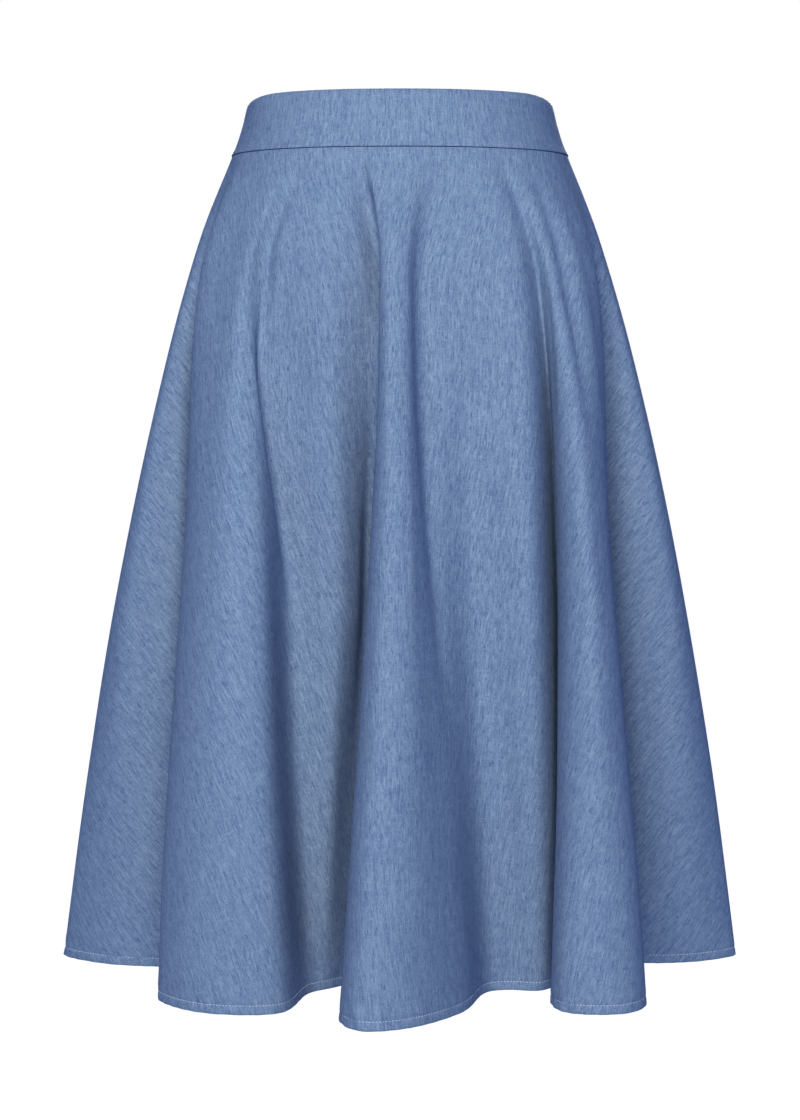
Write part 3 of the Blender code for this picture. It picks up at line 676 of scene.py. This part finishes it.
def panel_columns(name):
    """Give a skirt panel's first and last column."""
    return {"front": (0, COLUMN_LEFT), "back_left": (COLUMN_LEFT, COLUMN_BACK),
            "back_right": (COLUMN_BACK, COLUMN_END)}[name]


def build_skirt(denim):
    """Build the skirt's three panels."""
    profile = skirt_profile()
    pieces = []
    for name, node, cut in (
        ("front", "skirt_front", panel_cut(0.5, FRONT_ANGLE, FRONT_ASIDE)),
        ("back_left", "skirt_back_left", panel_cut(1.0, BACK_ANGLE, BACK_LEFT_ASIDE)),
        ("back_right", "skirt_back_right", panel_cut(0.0, BACK_ANGLE, BACK_RIGHT_ASIDE)),
    ):
        outer, inner, places = panel_strip(profile, *panel_columns(name), cut)
        piece = make_shell(f"panel_{name}", outer, inner, places, denim)
        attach(piece, "skirt")
        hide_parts(node)
        pieces.append(piece)
    return pieces


def build_band(denim):
    """Build the waistband's three pieces, a little lower at the sides than at the front and back."""
    quarter = BAND_COLUMNS // 4
    profile = band_profile()
    pieces = []
    for name, node, first, last, cut in (
        ("band_front", "waistband_front", 0, 2,
         band_cut(0.5, BAND_FRONT_LENGTH, BAND_FRONT_ASIDE)),
        ("band_back_left", "waistband_back_left", 2, 3,
         band_cut(1.0, BAND_BACK_LENGTH, BAND_LEFT_ASIDE)),
        ("band_back_right", "waistband_back_right", 3, 4,
         band_cut(0.0, BAND_BACK_LENGTH, BAND_RIGHT_ASIDE)),
    ):
        outer, inner, places = panel_strip(profile, first * quarter, last * quarter, cut)
        for rows in (outer, inner):
            up = (rows[..., 2] - BAND_BOTTOM) / (BAND_TOP - BAND_BOTTOM)
            past = (np.abs(rows[..., 0]) - SIDE_DIP_START) / (SIDE_DIP_END - SIDE_DIP_START)
            rows[..., 2] -= SIDE_DIP * up * np.clip(past, 0, 1) ** 2
        piece = make_shell(name, outer, inner, places, denim)
        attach(piece, "skirt")
        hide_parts(node)
        pieces.append(piece)
    return pieces


def strip_of(name, rows, material, thickness=SEAM_THICKNESS):
    """Build a narrow strip of cloth inside the skirt. Rows are (ring, columns, inset)."""
    outer, inner, places = [], [], []
    for ring, columns, inset in rows:
        points, normals = between_points(ring, columns)
        height = np.full((len(columns), 1), ring.height)
        outer.append(np.hstack([points - normals * inset, height]))
        inner.append(np.hstack([points - normals * (inset + thickness), height]))
        along = np.concatenate([[0.0], np.cumsum(np.linalg.norm(np.diff(points, axis=0), axis=1))])
        places.append(np.column_stack([along + STRIP_ASIDE, height]))
    piece = make_shell(name, np.array(outer), np.array(inner), np.array(places), material)
    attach(piece, "skirt")
    return piece


def columns_across(ring, column, offsets):
    """Find the columns that lie at offsets in metres to either side of one column."""
    count = len(ring.points)
    arcs = np.concatenate([ring.arcs[:-1] - ring.arcs[-1], ring.arcs, ring.arcs[1:] + ring.arcs[-1]])
    return np.interp(np.interp(column, np.arange(count + 1), ring.arcs) + np.array(offsets),
                     arcs, np.arange(-count, 2 * count + 1))


def build_seams(denim):
    """Build the seam allowances inside: round the waist, down both sides and down the back."""
    first = COLUMN_BACK + ZIP_KEEP_OUT
    last = COLUMN_BACK + COLUMN_END - ZIP_KEEP_OUT
    columns = np.arange(first, last + 1, 2, dtype=float)
    rows = [(skirt_ring(SKIRT_TOP)._replace(height=height), columns, inset)
            for height, inset in WAIST_SEAM_ROWS]
    seams = [strip_of("seam_waist", rows, denim)]
    for name, column, top in (
        ("seam_side_right", 0, SEAM_TOP),
        ("seam_side_left", COLUMN_LEFT, SEAM_TOP),
        ("seam_back", COLUMN_BACK, ZIP_BOTTOM - SEAM_UNDER_ZIP),
    ):
        heights = np.linspace(top, HEM_HEIGHT + SEAM_OVER_HEM, SEAM_ROWS)
        rings = [skirt_ring(height) for height in heights]
        rows = [(ring, columns_across(ring, column, SEAM_ACROSS), SKIRT_WALL + SEAM_CLEARANCE)
                for ring in rings]
        seams.append(strip_of(name, rows, denim))
    return seams


def add_capsule(corners, faces, centre, along, out, length, radius):
    """Add one small capsule to lists of corners and faces."""
    sides = CAPSULE_SIDES
    side = along.cross(out)
    first = len(corners)
    last = first + sides * (len(CAPSULE_RINGS) - 1)
    for place, width in CAPSULE_RINGS:
        for step in range(sides):
            angle = math.pi * step / (sides / 2)
            spoke = out * math.cos(angle) + side * math.sin(angle)
            corners.append(centre + along * (length * place) + spoke * (radius * width))
    for start in range(first, last, sides):
        for step in range(sides):
            a = start + step
            b = start + (step + 1) % sides
            faces.append((a, b, b + sides, a + sides))
    faces.append(tuple(first + step for step in reversed(range(sides))))
    faces.append(tuple(last + step for step in range(sides)))


def build_small_parts(name, corners, faces, material):
    """Make one piece out of many small capsules."""
    mesh = bpy.data.meshes.new(name)
    mesh.from_pydata(corners, [], faces)
    mesh.materials.append(material)
    mesh.shade_smooth()
    piece = bpy.data.objects.new(name, mesh)
    bpy.context.scene.collection.objects.link(piece)
    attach(piece, "skirt")
    return piece


def build_stitches(thread):
    """Build the line of stitches along the hem of every panel."""
    ring = skirt_ring(HEM_HEIGHT + STITCH_HEIGHT)
    pieces = []
    for name in ("front", "back_left", "back_right"):
        first, last = panel_columns(name)
        arcs = np.arange(ring.arcs[first] + STITCH_END, ring.arcs[last] - STITCH_END, STITCH_PITCH)
        columns = np.interp(arcs, ring.arcs, np.arange(len(ring.arcs)))
        points, normals, _ = read_ring(ring, columns)
        corners, faces = [], []
        for index, (point, normal) in enumerate(zip(points, normals)):
            out = Vector((*normal, 0.0))
            spot = Vector((index * STITCH_SINK_STEP, first, 2.0))
            sink = STITCH_RADIUS * STITCH_SINK * abs(noise.noise(spot))
            centre = Vector((*point, ring.height)) - out * sink
            along = Vector((-normal[1], normal[0], 0.0))
            add_capsule(corners, faces, centre, along, out, STITCH_LENGTH, STITCH_RADIUS)
        pieces.append(build_small_parts(f"hem_stitches_{name}", corners, faces, thread))
    return pieces


def back_rows(top, bottom, count):
    """List rings down the centre back, with their column there and the cloth's thickness."""
    rows = []
    for height in np.linspace(top, bottom, count):
        if height > BAND_BOTTOM:
            rows.append((band_ring(height), 3 * BAND_COLUMNS / 4, BAND_WALL))
        elif height < SKIRT_TOP:
            rows.append((skirt_ring(height), COLUMN_BACK, SKIRT_WALL))
    return rows


def build_zip(tape):
    """Build the zip's two tapes and its closed coil, inside the centre back seam."""
    rows = back_rows(ZIP_TOP, ZIP_BOTTOM, ZIP_ROWS)
    pieces = []
    for name, sign in (("zip_tape_left", -1), ("zip_tape_right", 1)):
        offsets = sorted(sign * place for place in TAPE_ACROSS)
        strip = [(ring, columns_across(ring, column, offsets), wall + TAPE_CLEARANCE)
                 for ring, column, wall in rows]
        pieces.append(strip_of(name, strip, tape, TAPE_THICKNESS))
    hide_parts("zip_tape")
    corners, faces = [], []
    heights = np.array([ring.height for ring, _, _ in rows])
    spots = np.array([read_ring(ring, np.array([float(column)]))[0][0] for ring, column, _ in rows])
    depths = spots[:, 1] - np.array([wall for _, _, wall in rows])
    for height in np.arange(ZIP_TOP - COIL_FROM_TOP, ZIP_BOTTOM + COIL_FROM_END, -COIL_PITCH):
        y = np.interp(-height, -heights, depths) - TAPE_CLEARANCE - TAPE_THICKNESS - COIL_RADIUS * COIL_DEPTH
        centre = Vector((np.interp(-height, -heights, spots[:, 0]), y, height))
        add_capsule(corners, faces, centre, Vector((1, 0, 0)), Vector((0, 1, 0)), COIL_WIDTH, COIL_RADIUS)
    pieces.append(build_small_parts("zip_coil", corners, faces, tape))
    return pieces


def finish_hardware(metal):
    """Give the zip's slider and pull their finish and softened edges."""
    for node in ("zip_slider", "zip_pull"):
        piece = bpy.data.objects[node]
        piece.data.materials.clear()
        piece.data.materials.append(metal)
        bevel = piece.modifiers.new("bevel", "BEVEL")
        bevel.width = HARDWARE_BEVEL
        bevel.segments = 2
        bevel.limit_method = "ANGLE"


def make_plain(finish):
    """Make a plain finish, slightly uneven in its colour."""
    material = bpy.data.materials.new(finish.name)
    material.use_nodes = True
    tree = material.node_tree
    shader = tree.nodes["Principled BSDF"]
    place = new_node(tree, "ShaderNodeTexCoord").outputs["Object"]
    grain = new_node(tree, "ShaderNodeTexNoise", Vector=place, Scale=GRAIN_SCALE, Detail=2.0)
    shade = math_node(tree, "MULTIPLY_ADD", grain.outputs["Fac"], 0.5, 0.25)
    dark, pale = ((*(channel * share for channel in finish.colour), 1.0) for share in GRAIN_RANGE)
    mixed = new_node(tree, "ShaderNodeMix", {"data_type": "RGBA"}, i0=shade, i6=dark, i7=pale)
    tree.links.new(mixed.outputs[2], shader.inputs["Base Color"])
    shader.inputs["Roughness"].default_value = finish.roughness
    shader.inputs["Metallic"].default_value = finish.metallic
    shader.inputs["Coat Weight"].default_value = finish.coat
    return material


def build_cloth():
    """Build every piece of the dressed skirt."""
    denim = make_denim("denim", DENIM_DARK, DENIM_PALE, 0.80)
    thread, tape, metal = (make_plain(finish) for finish in (THREAD, TAPE, METAL))
    front, back_left, back_right = build_skirt(denim)
    band_front, band_left, band_right = build_band(denim)
    waist, side_right, side_left, back_seam = build_seams(denim)
    stitches = build_stitches(thread)
    tape_left, tape_right, coil = build_zip(tape)
    finish_hardware(metal)


def build_floor():
    """Build the plain pale floor."""
    mesh = bpy.data.meshes.new("studio_floor")
    ends = ((-1, -1), (1, -1), (1, 1), (-1, 1))
    corners = [(x * FLOOR_HALF, y * FLOOR_HALF, FLOOR_LEVEL) for x, y in ends]
    mesh.from_pydata(corners, [], [(0, 1, 2, 3)])
    floor_material = bpy.data.materials.new("studio_floor")
    floor_material.use_nodes = True
    shader = floor_material.node_tree.nodes["Principled BSDF"]
    shader.inputs["Base Color"].default_value = (0.02, 0.02, 0.02, 1.0)
    shader.inputs["Roughness"].default_value = 1.0
    shader.inputs["Specular IOR Level"].default_value = 0.0
    shader.inputs["Emission Color"].default_value = WHITE
    shader.inputs["Emission Strength"].default_value = 1.0
    mesh.materials.append(floor_material)
    floor = bpy.data.objects.new("studio_floor", mesh)
    bpy.context.scene.collection.objects.link(floor)
    floor.visible_diffuse = False


def build_surroundings():
    """Make the light from all round, and the plain white that the camera sees instead."""
    world = bpy.data.worlds.new("studio")
    bpy.context.scene.world = world
    world.use_nodes = True
    tree = world.node_tree
    lit = tree.nodes["Background"]
    lit.inputs["Color"].default_value = AMBIENT_COLOUR
    lit.inputs["Strength"].default_value = AMBIENT_STRENGTH
    seen = new_node(tree, "ShaderNodeBackground", Color=WHITE, Strength=1.0)
    path = new_node(tree, "ShaderNodeLightPath")
    mixed = new_node(tree, "ShaderNodeMixShader", i0=path.outputs["Is Camera Ray"],
                     i1=lit.outputs[0], i2=seen.outputs[0])
    tree.links.new(mixed.outputs[0], tree.nodes["World Output"].inputs["Surface"])


def build_keys():
    """Build the key light in front, and the same one turned to the back."""
    for name, turn in (("key_front", -1), ("key_back", 1)):
        light = bpy.data.lights.new(name, "AREA")
        light.shape = "RECTANGLE"
        light.size, light.size_y = KEY_SIZE
        light.energy = KEY_POWER
        light.color = KEY_COLOUR
        holder = bpy.data.objects.new(name, light)
        bpy.context.scene.collection.objects.link(holder)
        holder.location = (turn * KEY_PLACE.x, turn * KEY_PLACE.y, KEY_PLACE.z)
        holder.rotation_euler = (KEY_AIM - holder.location).to_track_quat("-Z", "Y").to_euler()
        holder.visible_camera = False


def build_camera():
    """Build the camera and set the view's colours."""
    data = bpy.data.cameras.new("camera")
    data.sensor_width = CAMERA_SENSOR
    data.lens = CAMERA_LENS
    camera = bpy.data.objects.new("camera", data)
    scene = bpy.context.scene
    scene.collection.objects.link(camera)
    camera.location = CAMERA_PLACE
    camera.rotation_euler = (math.radians(90 - CAMERA_DOWN), 0.0, 0.0)
    scene.camera = camera
    scene.view_settings.view_transform = "Standard"
    scene.view_settings.gamma = VIEW_GAMMA


build_cloth()
build_floor()
build_surroundings()
build_keys()
build_camera()
